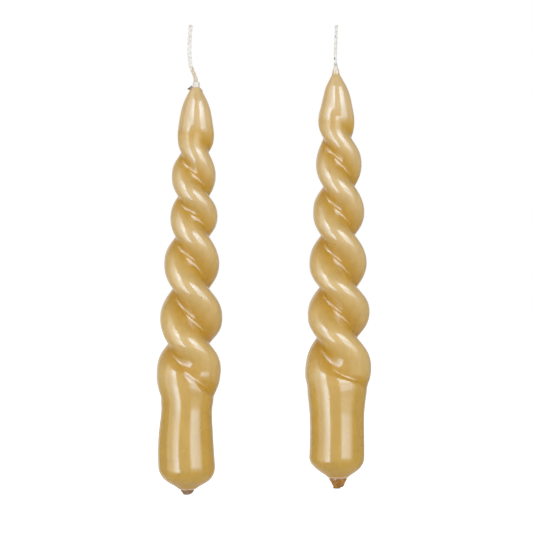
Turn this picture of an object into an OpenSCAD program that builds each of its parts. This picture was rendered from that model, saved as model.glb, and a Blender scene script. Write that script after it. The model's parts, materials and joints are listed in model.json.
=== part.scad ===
/* [Pair] */
// Distance between the axes of the two butts
pair_gap = 60; // [45:1:90]
// How far the right candle's rim lies above the left one's
right_raise = 3.2; // [0:0.2:8]

/* [Left candle] */
// Diameter of the butt where a holder grips it
left_butt_d = 22.7; // [20:0.1:24]
// Height of the straight seat at the foot of the butt
left_seat_h = 8; // [5:0.5:12]
// Height of the round butt, from its rim to the foot of the twist
left_butt_h = 23.2; // [16:0.4:30]
// Height of the wax, from the rim of the butt to the collar at the wick
left_wax_h = 151.4; // [120:0.2:180]
// Radius of the rounded shoulder under the rim
left_shoulder_r = 6.8; // [4:0.2:8]
// Slope of the cone between the shoulder and the nib, in degrees
left_cone_slope = 32; // [20:1:45]
// Diameter of the drip nib where it leaves the cone
left_nib_d = 5.4; // [4.6:0.2:7]
// Diameter of the drip nib at its end
left_nib_end_d = 4.6; // [3.8:0.2:6]
// Length of the drip nib
left_nib_h = 2.3; // [1.6:0.1:4]
// Angle at which the drip nib was cut off, in degrees
left_nib_cut = 9; // [0:1:15]
// Height to which the free wick stands above the collar
left_wick_free = 25.2; // [18:0.2:30]
// Height to which wax climbs the free wick
left_root_h = 8.4; // [4:0.2:12]
// Turn of the plait's broad side away from the front, in degrees
left_plait_turn = 8; // [0:1:90]

/* [Right candle] */
// Diameter of the butt where a holder grips it
right_butt_d = 21.9; // [20:0.1:24]
// Height of the straight seat at the foot of the butt
right_seat_h = 14; // [8:0.5:16]
// Height of the round butt, from its rim to the foot of the twist
right_butt_h = 16.8; // [16.4:0.4:24]
// Height of the wax, from the rim of the butt to the collar at the wick
right_wax_h = 153.2; // [120:0.2:180]
// Radius of the rounded shoulder under the rim
right_shoulder_r = 5.4; // [4:0.2:8]
// Slope of the cone between the shoulder and the nib, in degrees
right_cone_slope = 33; // [20:1:45]
// Diameter of the drip nib where it leaves the cone
right_nib_d = 7.2; // [5:0.2:8]
// Diameter of the drip nib at its end
right_nib_end_d = 4; // [3.8:0.2:6]
// Length of the drip nib
right_nib_h = 4.5; // [3:0.1:6]
// Angle at which the drip nib was cut off, in degrees
right_nib_cut = 4; // [0:1:10]
// Height to which the free wick stands above the collar
right_wick_free = 20; // [16:0.2:30]
// Height to which wax climbs the free wick
right_root_h = 2.6; // [2:0.2:8]
// Turn of the plait's broad side away from the front, in degrees
right_plait_turn = 62; // [0:1:90]

/* [Wax] */
// Thickness of the coloured coat over the pale core
coat_t = 0.5; // [0.3:0.05:1]
// Height of the collar of coat that stands above the core's tip
collar_h = 1.6; // [1:0.1:2.4]
// Wall of the wax that sheathes the wick inside the candle
sheath_t = 0.3; // [0.2:0.05:0.5]
// Wall of the wax that climbs the free wick, at its upper end
root_t = 0.1; // [0.06:0.02:0.2]

/* [Wick] */
// Diameter of one of the three plaited cotton strands
strand_d = 0.6; // [0.4:0.05:0.7]
// Length in which a strand returns to its place in the plait
plait_pitch = 6.4; // [6:0.2:9]

/* [Hidden] */

// Each list below holds the left candle's value, then the right one's
LEFT = 0;
RIGHT = 1;
stands_at = [[0, 0, 0], [pair_gap, 0, right_raise]];
butt_r = [left_butt_d, right_butt_d] / 2;
seat_h = [left_seat_h, right_seat_h];
butt_h = [left_butt_h, right_butt_h];
wax_h = [left_wax_h, right_wax_h];
form_h = wax_h - butt_h;
shoulder_r = [left_shoulder_r, right_shoulder_r];
cone_slope = [left_cone_slope, right_cone_slope];
nib_r = [left_nib_d, right_nib_d] / 2;
nib_end_r = [left_nib_end_d, right_nib_end_d] / 2;
nib_h = [left_nib_h, right_nib_h];
nib_cut = [left_nib_cut, right_nib_cut];
wick_free = [left_wick_free, right_wick_free];
root_h = [left_root_h, right_root_h];
plait_turn = [left_plait_turn, right_plait_turn];

// The rolled and twisted form above the butt. Each row has its height as a share of the
// form's height, then, as shares of the butt's diameter, its width across the two lobes,
// its thickness through the waist and how far it leans to the right
left_form_shares = [
    [0, 0.9, 0.9, 0],
    [0.04, 0.97, 0.96, 0.01],
    [0.06, 1.04, 0.95, 0.02],
    [0.09, 1.11, 0.86, 0.03],
    [0.12, 1.13, 0.79, 0.04],
    [0.28, 1.1, 0.7, 0.08],
    [0.45, 0.97, 0.61, 0.1],
    [0.6, 0.84, 0.56, 0.13],
    [0.72, 0.77, 0.52, 0.13],
    [0.8, 0.7, 0.48, 0.15],
    [0.85, 0.64, 0.51, 0.16],
    [0.89, 0.6, 0.57, 0.16],
    [0.93, 0.52, 0.52, 0.16],
    [0.96, 0.41, 0.41, 0.16],
    [0.985, 0.24, 0.24, 0.17],
    [1, 0.18, 0.18, 0.18]
];
right_form_shares = [
    [0, 1.01, 1.01, 0],
    [0.04, 1.03, 1.02, 0],
    [0.06, 1.07, 1.03, 0],
    [0.08, 1.12, 1.01, 0.01],
    [0.11, 1.18, 0.93, 0.02],
    [0.14, 1.2, 0.85, 0.02],
    [0.3, 1.12, 0.73, 0.03],
    [0.45, 1.04, 0.68, 0.02],
    [0.6, 0.94, 0.63, 0.03],
    [0.74, 0.83, 0.57, 0.03],
    [0.81, 0.75, 0.52, 0.02],
    [0.87, 0.66, 0.57, 0],
    [0.9, 0.6, 0.58, 0],
    [0.94, 0.49, 0.49, 0],
    [0.97, 0.37, 0.37, -0.01],
    [0.985, 0.26, 0.26, -0.01],
    [1, 0.15, 0.15, -0.01]
];
form_shares = [left_form_shares, right_form_shares];

// Heights at which the two lobes lie crosswise, then endwise, and so on, a quarter turn
// apart, as shares of the form's height
left_quarter_shares = [0.12, 0.205, 0.285, 0.375, 0.45, 0.535, 0.6, 0.66, 0.725, 0.795, 0.85];
right_quarter_shares = [0.135, 0.23, 0.3, 0.38, 0.45, 0.53, 0.6, 0.675, 0.74, 0.815, 0.87];
quarter_shares = [left_quarter_shares, right_quarter_shares];

// Roundness of the crease between the lobes, as a share of a lobe's offset
crease_share = 0.2;

// The free wick's line above the collar: right, back and up, as shares of its height
left_wick_shares = [
    [0, 0, 0], [0.005, 0, 0.05], [-0.005, 0.005, 0.15], [-0.045, 0.01, 0.25],
    [-0.085, 0.015, 0.36], [-0.1, 0.01, 0.47], [-0.105, 0, 0.65], [-0.095, 0, 0.85], [-0.08, 0, 1]
];
right_wick_shares = [[0, 0, 0], [0, 0, 0.1], [-0.01, 0.005, 0.4], [0, 0.01, 0.7], [0.01, 0, 1]];
wick_shares = [left_wick_shares, right_wick_shares];

// Gaps between the layers, which the wax fills on the real candle
layer_fit = 0.04;
strand_fit = 0.06;
plait_fit = 0.1;

// The plait's swings, as shares of the spacing of two strands that lie side by side
swing_share = 0.94;
depth_share = 0.69;
plait_swing = swing_share * (strand_d + strand_fit);
plait_depth = depth_share * (strand_d + strand_fit);

bore_r = plait_swing + strand_d / 2 + plait_fit;
sheath_r = bore_r + sheath_t;
channel_r = sheath_r + layer_fit;
core_inset = coat_t + layer_fit;

// The twisted skin is let into the butt's wall by a tongue, set in by a tuck on each side
tongue_h = 0.5;
tongue_tuck = 0.05;
tongue_thin = 0.15;
wick_recess = 0.1;
overrun = 1;

// How finely the curved surfaces are cut
lobe_sides = 20;
foot_rings = 5;
quarter_rings = 5;
tip_rings = 9;
shoulder_steps = 8;
root_sides = 12;
root_rings_step = 1;
strand_sides = 6;
pitch_rings = 12;
$fn = 96;

coat_colour = [0.78, 0.62, 0.33];
core_colour = [0.95, 0.89, 0.74];
nib_colour = [0.6, 0.4, 0.16];
root_colour = [0.93, 0.78, 0.58];
cotton_colour = [0.96, 0.94, 0.88];

function steps(a, b, n) = [for (i = [1 : n]) a + (b - a) * i / n];
function eased_steps(a, b, n) = [for (i = [1 : n]) a + (b - a) * sin(90 * i / n)];
function reverse(list) = [for (i = [len(list) - 1 : -1 : 0]) list[i]];
function column(rows, i) = [for (row = rows) row[i]];
function unit(v) = v / norm(v);

// A smooth curve through the points (xs, ys), going straight on past both ends
function span_of(x, xs, i = 0) = i >= len(xs) - 2 || x < xs[i + 1] ? i : span_of(x, xs, i + 1);
function grade(xs, ys, i) =
    let (a = max(i - 1, 0), b = min(i + 1, len(xs) - 1))
    (ys[b] - ys[a]) / (xs[b] - xs[a]);
function between(x, xs, ys, i) =
    let (h = xs[i + 1] - xs[i], u = (x - xs[i]) / h, ease = u * u * (3 - 2 * u))
    ys[i] + (ys[i + 1] - ys[i]) * ease
        + h * u * (1 - u) * ((1 - u) * grade(xs, ys, i) - u * grade(xs, ys, i + 1));
function curve_at(x, xs, ys) =
    let (last = len(xs) - 1)
    x <= xs[0] ? ys[0] + (x - xs[0]) * grade(xs, ys, 0)
        : x >= xs[last] ? ys[last] + (x - xs[last]) * grade(xs, ys, last)
        : between(x, xs, ys, span_of(x, xs));

// The form of candle c at height share u
function form_at(c, u, i) = curve_at(u, column(form_shares[c], 0), column(form_shares[c], i));
function lobe_at(c, u) = form_at(c, u, 1) * butt_r[c];
function waist_at(c, u) = min(form_at(c, u, 2) * butt_r[c], lobe_at(c, u));
function lean_at(c, u) = form_at(c, u, 3) * 2 * butt_r[c];
function quarter_turns(c) = [for (i = [0 : len(quarter_shares[c]) - 1]) -90 * i];
function turn_at(c, u) = curve_at(u, quarter_shares[c], quarter_turns(c));

// Reach of two overlapping round lobes from the middle of the slab, in the direction a
function lobe_reach(lobe, waist, a) =
    let (
        offset = lobe - waist,
        crease = pow(crease_share, 2),
        along = sqrt((pow(cos(a), 2) + crease) / (1 + crease))
    )
    offset * along + sqrt(pow(waist, 2) - pow(offset * sin(a), 2));

function form_ring(c, u, inset) =
    let (lobe = lobe_at(c, u), waist = waist_at(c, u), turn = turn_at(c, u))
    [for (i = [0 : lobe_sides - 1])
        let (a = i * 360 / lobe_sides, r = lobe_reach(lobe, waist, a) - inset)
        [lean_at(c, u) + r * cos(a + turn), r * sin(a + turn), butt_h[c] + u * form_h[c]]];
function tongue_ring(c, inset, z) =
    let (r = lobe_at(c, 0) - inset)
    [for (i = [0 : lobe_sides - 1])
        let (a = i * 360 / lobe_sides + turn_at(c, 0))
        [r * cos(a), r * sin(a), z]];

// Rings of the form from its tongue in the butt to the height share top
function ring_shares(c, top) =
    let (q = quarter_shares[c], last = len(q) - 1)
    concat(
        steps(0, q[0], foot_rings),
        [for (i = [0 : last - 1]) each steps(q[i], q[i + 1], quarter_rings)],
        eased_steps(q[last], top, tip_rings)
    );
function form_rings(c, inset, tuck, top) =
    concat(
        [for (z = [butt_h[c] - tongue_h, butt_h[c]]) tongue_ring(c, inset + tuck, z)],
        [for (u = ring_shares(c, top)) form_ring(c, u, inset)]
    );
function core_top(c) = 1 - collar_h / form_h[c];
function cavity_top(c) = core_top(c) + layer_fit / form_h[c];

// Faces between ring k and ring m, cut along the short diagonal of each quad that the twist
// skews: one way where the rings go up, the other way where they come down
function band(k, m, sides, down = false) = [
    for (i = [0 : sides - 1])
        let (
            j = (i + 1) % sides,
            a = k * sides + i,
            b = k * sides + j,
            e = m * sides + j,
            f = m * sides + i
        )
        each down ? [[a, f, b], [b, f, e]] : [[a, f, e], [a, e, b]]
];
function cap_below(k, sides) = [for (i = [0 : sides - 1]) k * sides + i];
function cap_above(k, sides) = reverse(cap_below(k, sides));

module solid_skin(rings) {
    sides = len(rings[0]);
    last = len(rings) - 1;
    polyhedron(
        points = [for (r = rings) each r],
        faces = concat(
            [cap_below(0, sides), cap_above(last, sides)],
            [for (k = [0 : last - 1]) each band(k, k + 1, sides)]
        ),
        convexity = 10
    );
}

// A shell that is open below: outer rings going up, then inner rings coming down
module cup_skin(outer, inner) {
    rings = concat(outer, reverse(inner));
    sides = len(rings[0]);
    top = len(outer) - 1;
    last = len(rings) - 1;
    polyhedron(
        points = [for (r = rings) each r],
        faces = concat(
            [cap_above(top, sides), cap_below(top + 1, sides)],
            [for (k = [0 : last]) if (k != top) each band(k, (k + 1) % (last + 1), sides, down = k > top)]
        ),
        convexity = 10
    );
}

// A shell that is open at both ends
module pipe_skin(outer, inner) {
    rings = concat(outer, reverse(inner));
    count = len(rings);
    polyhedron(
        points = [for (r = rings) each r],
        faces = [for (k = [0 : count - 1]) each band(k, (k + 1) % count, len(rings[0]))],
        convexity = 10
    );
}

// The butt's outline from the foot of the twist down to its axis, set in by inset
function shoulder_points(c, inset) = [
    for (i = [0 : shoulder_steps])
        let (a = i * (90 - cone_slope[c]) / shoulder_steps, r = shoulder_r[c] - inset)
        [butt_r[c] - shoulder_r[c] + r * cos(a), -r * sin(a)]
];
function nib_top(c) =
    let (end = shoulder_points(c, 0)[shoulder_steps])
    end[1] - (end[0] - nib_r[c]) * tan(cone_slope[c]);
function butt_points(c, inset) = concat(
    [[lobe_at(c, 0) - inset, butt_h[c]], [butt_r[c] - inset, seat_h[c]]],
    shoulder_points(c, inset),
    [[nib_r[c] - inset * tan(cone_slope[c] / 2), nib_top(c) + inset], [0, nib_top(c) + inset]]
);

// The wick's line: straight through the wax from the nib to the collar, then its own way
function nib_foot(c) = nib_top(c) - nib_h[c];
function nib_slant(c) = nib_end_r[c] * tan(nib_cut[c]);
function wick_foot(c) = [0, 0, nib_foot(c)];
function collar(c) = [lean_at(c, 1), 0, wax_h[c]];
function wick_run(c) = collar(c) - wick_foot(c);
function tail_recess(c) = nib_slant(c) + wick_recess;
function free_line(c, v, i) =
    wick_free[c] * curve_at(v, column(wick_shares[c], 2), column(wick_shares[c], i));
function wick_point(c, h) =
    h < 0 ? collar(c) + h * wick_run(c) / wick_run(c)[2]
        : collar(c) + [free_line(c, h / wick_free[c], 0), free_line(c, h / wick_free[c], 1), h];

module along_wick(c) {
    translate(wick_foot(c))
        rotate([0, atan2(wick_run(c)[0], wick_run(c)[2]), 0])
            children();
}
module wick_channel(c) {
    along_wick(c)
        translate([0, 0, -overrun])
            cylinder(h = norm(wick_run(c)) + 2 * overrun, r = channel_r);
}

// Rings of radius rs[i] square to the line through the points, starting square to the wick
function line_rings(c, points, rs, sides) = [
    for (i = [0 : len(points) - 1])
        let (
            ahead = points[min(i + 1, len(points) - 1)] - points[max(i - 1, 0)],
            t = i == 0 ? unit(wick_run(c)) : unit(ahead),
            right = unit(cross([0, 1, 0], t)),
            back = cross(t, right)
        )
        [for (k = [0 : sides - 1])
            let (a = k * 360 / sides)
            points[i] + rs[i] * (right * cos(a) + back * sin(a))]
];

module coat(c) {
    color(coat_colour)
        translate(stands_at[c])
            difference() {
                union() {
                    rotate_extrude()
                        polygon(concat(butt_points(c, 0), reverse(butt_points(c, coat_t))));
                    cup_skin(
                        form_rings(c, 0, tongue_tuck, 1),
                        form_rings(c, coat_t, -tongue_thin, cavity_top(c))
                    );
                }
                wick_channel(c);
            }
}

module core(c) {
    color(core_colour)
        translate(stands_at[c])
            difference() {
                union() {
                    rotate_extrude()
                        polygon(concat(butt_points(c, core_inset), [[0, butt_h[c]]]));
                    solid_skin(form_rings(c, core_inset, tongue_tuck, core_top(c)));
                }
                wick_channel(c);
            }
}

module drip_nib(c) {
    cutter = 2 * (nib_r[c] + overrun);
    color(nib_colour)
        translate(stands_at[c])
            difference() {
                translate([0, 0, nib_foot(c) - nib_slant(c)])
                    cylinder(h = nib_h[c] + nib_slant(c), r1 = nib_end_r[c], r2 = nib_r[c]);
                translate([0, 0, nib_foot(c)])
                    rotate([-nib_cut[c], 0, 0])
                        translate([0, 0, -cutter / 2])
                            cube(cutter, center = true);
                wick_channel(c);
            }
}

module wick_sheath(c) {
    color(root_colour)
        translate(stands_at[c])
            along_wick(c)
                translate([0, 0, tail_recess(c)])
                    difference() {
                        cylinder(h = norm(wick_run(c)) - tail_recess(c), r = sheath_r);
                        translate([0, 0, -overrun])
                            cylinder(h = norm(wick_run(c)) + 2 * overrun, r = bore_r);
                    }
}

module root_wax(c) {
    inner_r = bore_r / cos(180 / root_sides);
    heights = concat([0], steps(0, root_h[c], ceil(root_h[c] / root_rings_step)));
    line = [for (h = heights) wick_point(c, h)];
    outer_rs = [for (h = heights) sheath_r + (inner_r + root_t - sheath_r) * h / root_h[c]];
    color(root_colour)
        translate(stands_at[c])
            pipe_skin(
                line_rings(c, line, outer_rs, root_sides),
                line_rings(c, line, [for (h = heights) inner_r], root_sides)
            );
}

// Strand k of the plait: straight through the wax, plaited where it is free
function strand_point(c, k, h) =
    let (
        phase = 120 * k + 360 * max(h, 0) / plait_pitch,
        x = plait_swing * sin(phase),
        y = plait_depth * sin(2 * phase),
        turn = plait_turn[c]
    )
    wick_point(c, h) + [x * cos(turn) - y * sin(turn), x * sin(turn) + y * cos(turn), 0];

module wick_strand(c, k) {
    count = ceil(wick_free[c] / plait_pitch * pitch_rings);
    heights = concat([tail_recess(c) - wick_run(c)[2], 0], steps(0, wick_free[c], count));
    color(cotton_colour)
        translate(stands_at[c])
            solid_skin(line_rings(
                c,
                [for (h = heights) strand_point(c, k, h)],
                [for (h = heights) strand_d / 2],
                strand_sides
            ));
}

coat(LEFT);  // left_coat
core(LEFT);  // left_core
drip_nib(LEFT);  // left_drip_nib
wick_sheath(LEFT);  // left_wick_sheath
root_wax(LEFT);  // left_root_wax
wick_strand(LEFT, 1);  // left_wick_strand_1
wick_strand(LEFT, 2);  // left_wick_strand_2
wick_strand(LEFT, 3);  // left_wick_strand_3
coat(RIGHT);  // right_coat
core(RIGHT);  // right_core
drip_nib(RIGHT);  // right_drip_nib
wick_sheath(RIGHT);  // right_wick_sheath
root_wax(RIGHT);  // right_root_wax
wick_strand(RIGHT, 1);  // right_wick_strand_1
wick_strand(RIGHT, 2);  // right_wick_strand_2
wick_strand(RIGHT, 3);  // right_wick_strand_3
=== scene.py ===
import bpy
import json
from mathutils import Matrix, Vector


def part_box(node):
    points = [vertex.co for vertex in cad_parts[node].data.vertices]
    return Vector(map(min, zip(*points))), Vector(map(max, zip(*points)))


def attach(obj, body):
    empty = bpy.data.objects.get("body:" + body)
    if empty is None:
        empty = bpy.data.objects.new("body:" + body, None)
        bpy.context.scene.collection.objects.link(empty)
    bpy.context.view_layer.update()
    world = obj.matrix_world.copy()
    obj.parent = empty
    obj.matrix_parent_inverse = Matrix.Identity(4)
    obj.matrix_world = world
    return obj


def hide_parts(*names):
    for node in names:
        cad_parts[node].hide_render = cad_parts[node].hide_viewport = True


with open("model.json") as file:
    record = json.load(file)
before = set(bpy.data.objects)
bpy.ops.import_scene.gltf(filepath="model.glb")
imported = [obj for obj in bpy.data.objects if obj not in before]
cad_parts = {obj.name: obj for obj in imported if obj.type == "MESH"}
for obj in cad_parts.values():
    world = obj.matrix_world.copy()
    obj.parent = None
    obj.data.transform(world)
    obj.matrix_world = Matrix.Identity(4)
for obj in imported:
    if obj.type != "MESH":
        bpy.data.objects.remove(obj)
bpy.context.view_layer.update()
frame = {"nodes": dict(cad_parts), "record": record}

import json
import math
import random

import bmesh
import bpy
from mathutils import Matrix, Vector, noise

scene = bpy.context.scene
mm = 0.001
print("frame loaded:", len(frame["nodes"]), "nodes")

# The camera stands where the photograph was taken from: straight in front, far off
cameraView = {"aim": (0.0319, 0, 0.08), "distance": 1.184, "lens": 200, "sensor": 36}
cameraData = bpy.data.cameras.new("photoCamera")
cameraData.lens = cameraView["lens"]
cameraData.sensor_width = cameraView["sensor"]
camera = bpy.data.objects.new("photoCamera", cameraData)
camera.location = Vector(cameraView["aim"]) - Vector((0, cameraView["distance"], 0))
camera.rotation_euler = (math.radians(90), 0, 0)
scene.collection.objects.link(camera)
scene.camera = camera
print("camera placed")


def gradeAt(xs, ys, i):  # the slope at a point, from its neighbours
    a, b = max(i - 1, 0), min(i + 1, len(xs) - 1)
    return (ys[b] - ys[a]) / (xs[b] - xs[a])


def curveAt(x, xs, ys):  # a smooth curve through the points, going straight on past both ends
    if x <= xs[0]:
        return ys[0] + (x - xs[0]) * gradeAt(xs, ys, 0)
    if x >= xs[-1]:
        return ys[-1] + (x - xs[-1]) * gradeAt(xs, ys, len(xs) - 1)
    i = max(k for k in range(len(xs) - 1) if xs[k] <= x)
    h = xs[i + 1] - xs[i]
    s = (x - xs[i]) / h
    bow = (1 - s) * gradeAt(xs, ys, i) - s * gradeAt(xs, ys, i + 1)
    return ys[i] + (ys[i + 1] - ys[i]) * s * s * (3 - 2 * s) + h * s * (1 - s) * bow


def clamp(value, low=0.0, high=1.0):
    return max(low, min(high, value))


def smoothStep(value, start, end):
    s = clamp((value - start) / (end - start))
    return s * s * (3 - 2 * s)


# The wax of both candles as the CAD has it, in mm. A form row is: height share, then, as shares of the
# butt's diameter, width over both lobes, thickness through the waist, lean to the right. A turn is a height
# share and degrees, a dent a height share, degrees and depth, and a dull ring starts, is full, wanes and ends
leftForm = {
    "buttD": 22.7,
    "buttH": 23.2,
    "buttRows": [(0, 1.002), (0.17, 0.998), (0.45, 0.972), (0.65, 0.944), (0.8, 0.917), (0.93, 0.899), (1, 0.897)],
    "footRows": [
        (2.9, -9.16), (3.45, -8.86), (4.75, -7.98), (6.35, -7.04), (8.25, -5.9), (9.65, -4.55), (10.6, -3.1),
        (11.2, -1.5), (11.38, 0),
    ],
    "footLean": 0.25,
    "leanEnd": -6,
    "buttBow": -0.4,
    "rows": [
        (0, 0.897, 0.897, 0.003), (0.008, 0.903, 0.9, 0.005), (0.019, 0.922, 0.906, 0.008),
        (0.037, 0.968, 0.92, 0.012), (0.056, 1.029, 0.936, 0.018), (0.075, 1.084, 0.936, 0.025),
        (0.094, 1.117, 0.898, 0.03), (0.12, 1.127, 0.81, 0.038), (0.16, 1.118, 0.729, 0.04),
        (0.206, 1.124, 0.694, 0.043), (0.245, 1.111, 0.677, 0.075), (0.284, 1.097, 0.656, 0.08),
        (0.33, 1.085, 0.632, 0.081), (0.374, 1.058, 0.611, 0.074), (0.413, 1.019, 0.599, 0.084),
        (0.452, 0.975, 0.587, 0.09), (0.493, 0.933, 0.576, 0.087), (0.535, 0.888, 0.564, 0.097),
        (0.567, 0.853, 0.555, 0.119), (0.599, 0.83, 0.545, 0.129), (0.63, 0.816, 0.534, 0.128),
        (0.661, 0.811, 0.522, 0.12), (0.692, 0.798, 0.508, 0.12), (0.724, 0.775, 0.489, 0.125),
        (0.76, 0.751, 0.471, 0.125), (0.797, 0.709, 0.462, 0.141), (0.823, 0.677, 0.472, 0.155),
        (0.837, 0.662, 0.486, 0.159), (0.849, 0.651, 0.501, 0.16), (0.862, 0.638, 0.515, 0.16),
        (0.875, 0.623, 0.52, 0.16), (0.89, 0.602, 0.512, 0.159), (0.91, 0.568, 0.487, 0.159),
        (0.935, 0.509, 0.435, 0.16), (0.96, 0.409, 0.353, 0.159), (0.985, 0.26, 0.246, 0.159),
        (1, 0.178, 0.178, 0.163),
    ],
    "turns": [
        (0, 24), (0.037, 24), (0.056, 22), (0.075, 18), (0.094, 11), (0.122, 0), (0.206, -93), (0.284, -178),
        (0.374, -269), (0.452, -347), (0.535, -448), (0.599, -534), (0.661, -627), (0.724, -709), (0.797, -807),
        (0.849, -874), (0.885, -918), (0.94, -932), (1, -935),
    ],
    "dents": [
        (0, 120, 0), (0.02, 104, 0.1), (0.031, 90, 0.3), (0.05, 60, 0.9), (0.066, 43, 1.15), (0.081, 32, 1.05),
        (0.1, 14, 0.6), (0.12, -6, 0.15), (0.14, -24, 0),
    ],
    "dentSpread": 12,
    "dullRing": (125.4, 128.4, 132.2, 135.8),
    "dwell": 0.08,
    "seed": 3.1,
}
rightForm = {
    "buttD": 21.9,
    "buttH": 16.8,
    "buttRows": [(0, 1.004), (0.05, 1.006), (0.43, 0.996), (0.71, 0.991), (1, 0.998)],
    "footRows": [
        (3.75, -7.7), (4.2, -7.3), (5.3, -6.45), (6.9, -5.4), (8.6, -4.1), (9.85, -2.7), (10.65, -1.3), (10.99, 0),
    ],
    "footLean": 0.5,
    "leanEnd": -6,
    "buttBow": 0.1,
    "rows": [
        (0, 0.998, 0.998, 0.002), (0.012, 1.003, 1.002, 0.002), (0.029, 1.021, 1.014, 0.002),
        (0.047, 1.048, 1.026, 0.002), (0.065, 1.084, 1.036, 0.004), (0.082, 1.127, 1.041, 0.009),
        (0.1, 1.17, 1.018, 0.015), (0.12, 1.199, 0.94, 0.021), (0.135, 1.205, 0.866, 0.025),
        (0.16, 1.201, 0.788, 0.03), (0.19, 1.199, 0.738, 0.025), (0.23, 1.184, 0.706, 0.006),
        (0.265, 1.156, 0.695, 0.021), (0.3, 1.127, 0.683, 0.034), (0.34, 1.118, 0.67, 0.039),
        (0.38, 1.101, 0.651, 0.026), (0.415, 1.076, 0.639, 0.019), (0.45, 1.046, 0.626, 0.023),
        (0.49, 1.019, 0.609, 0.02), (0.53, 0.993, 0.591, 0.019), (0.565, 0.964, 0.583, 0.03),
        (0.6, 0.936, 0.576, 0.035), (0.637, 0.917, 0.565, 0.031), (0.675, 0.897, 0.545, 0.037),
        (0.707, 0.869, 0.526, 0.037), (0.74, 0.837, 0.506, 0.036), (0.777, 0.797, 0.49, 0.032),
        (0.815, 0.741, 0.485, 0.008), (0.843, 0.702, 0.503, -0.006), (0.857, 0.684, 0.517, -0.007),
        (0.87, 0.666, 0.525, -0.008), (0.885, 0.639, 0.52, -0.008), (0.9, 0.604, 0.503, -0.005),
        (0.935, 0.51, 0.436, -0.001), (0.965, 0.394, 0.345, -0.008), (0.985, 0.262, 0.244, -0.013),
        (1, 0.162, 0.156, -0.017),
    ],
    "turns": [
        (0, 28), (0.032, 28), (0.047, 27), (0.062, 25), (0.076, 22), (0.097, 17), (0.115, 10), (0.135, 0),
        (0.23, -90), (0.3, -175), (0.38, -272), (0.45, -354), (0.53, -449), (0.6, -537), (0.675, -632),
        (0.74, -711), (0.815, -809), (0.87, -877), (0.905, -925), (0.95, -934), (1, -935),
    ],
    "dents": [
        (0.04, 100, 0), (0.07, 90, 0.15), (0.084, 74, 0.5), (0.097, 58, 0.95), (0.114, 30, 1.0), (0.13, 2, 0.5),
        (0.145, -14, 0.12), (0.16, -24, 0),
    ],
    "dentSpread": 15,
    "dullRing": (129, 132, 133.8, 137.4),
    "dwell": 0.08,
    "seed": 7.7,
}
forms = {"left": leftForm, "right": rightForm}
for side, form in forms.items():  # places and heights come from the frame
    mount = next(m for m in frame["record"]["mounts"] if m["name"] == side + "_butt")
    low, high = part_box(side + "_coat")
    form["side"] = side
    form["base"] = Vector(mount["pos_m"])
    form["waxH"] = (high.z - form["base"].z) / mm
    form["lipZ"] = (low.z - form["base"].z) / mm
    form["formH"] = form["waxH"] - form["buttH"]
    form["collarX"] = form["rows"][-1][3] * form["buttD"]
    form["slices"] = {}


def sliceAt(form, z):  # half width, half thickness, lean and turn of the wax at a height
    key = round(z, 3)
    if key not in form["slices"]:
        u = (z - form["buttH"]) / form["formH"]
        heights, *columns = zip(*form["rows"])
        width, thickness, lean = (curveAt(max(u, 0), heights, column) for column in columns)
        lobe = width * form["buttD"] / 2
        waist = min(thickness * form["buttD"] / 2, lobe)
        turn = math.radians(curveAt(max(u, 0), *zip(*form["turns"])))
        turn -= form["dwell"] * math.sin(2 * turn)
        if u < 0:
            lobe = waist = buttRadius(form, z)
            lean = form["rows"][0][3] * smoothStep(z, 0, form["buttH"])
        bow = form["buttBow"] * math.sin(math.pi * clamp(z / form["buttH"]))
        bow += form["footLean"] * smoothStep(z, 0, form["leanEnd"])
        form["slices"][key] = (lobe, waist, lean * form["buttD"] + bow, turn)
    return form["slices"][key]


def dentAt(form, z):  # where the lowest groove runs out into the round butt: its turn and depth
    u = (z - form["buttH"]) / form["formH"]
    shares, turns, depths = zip(*form["dents"])
    if not shares[0] < u < shares[-1]:
        return 0, 0
    return curveAt(u, shares, turns), max(curveAt(u, shares, depths), 0)


def buttRadius(form, z):
    if z >= 0:
        shares, widths = zip(*form["buttRows"])
        return curveAt(z / form["buttH"], shares, widths) * form["buttD"] / 2
    radii, heights = zip(*form["footRows"])
    return curveAt(z, heights, radii)


def reachAt(lobe, waist, angle, shape):  # from the middle out to the skin of two overlapping plump lobes
    offset, crease = lobe - waist, shape["crease"]
    along = ((math.cos(angle) ** 2 + crease ** 2) / (1 + crease ** 2)) ** (shape["plump"] / 2)
    return offset * along + math.sqrt(waist ** 2 - (offset * math.sin(angle)) ** 2)


def wickLine(form, z):  # the wick runs straight through the wax, from the nib to the collar
    foot = form["lipZ"] - nibShapes[form["side"]]["height"]
    return form["collarX"] * (z - foot) / (form["waxH"] - foot)


def makeObject(name, bm, material):  # smooth shaded, at the origin, with its place in its mesh
    mesh = bpy.data.meshes.new(name)
    bm.to_mesh(mesh)
    bm.free()
    mesh.materials.append(material)
    mesh.polygons.foreach_set("use_smooth", [True] * len(mesh.polygons))
    thing = bpy.data.objects.new(name, mesh)
    scene.collection.objects.link(thing)
    return thing


def finishPiece(name, bm, material, body, nodes=(), sharp=None):
    piece = makeObject(name, bm, material)
    if sharp:
        piece.data.set_sharp_from_angle(angle=math.radians(sharp))
    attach(piece, body)
    if nodes:
        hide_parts(*nodes)
    return piece


def toRowFrame(bm, form):  # mm about the butt's centre become metres in the shared frame
    place = Matrix.Translation(form["base"]) @ Matrix.Scale(mm, 4)
    bmesh.ops.transform(bm, matrix=place, verts=bm.verts)


def screenColour(code):  # a colour as a screen shows it, made linear for the nodes
    values = [int(code[i:i + 2], 16) / 255 for i in (0, 2, 4)]
    return [v / 12.92 if v <= 0.04045 else ((v + 0.055) / 1.055) ** 2.4 for v in values] + [1]


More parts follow.
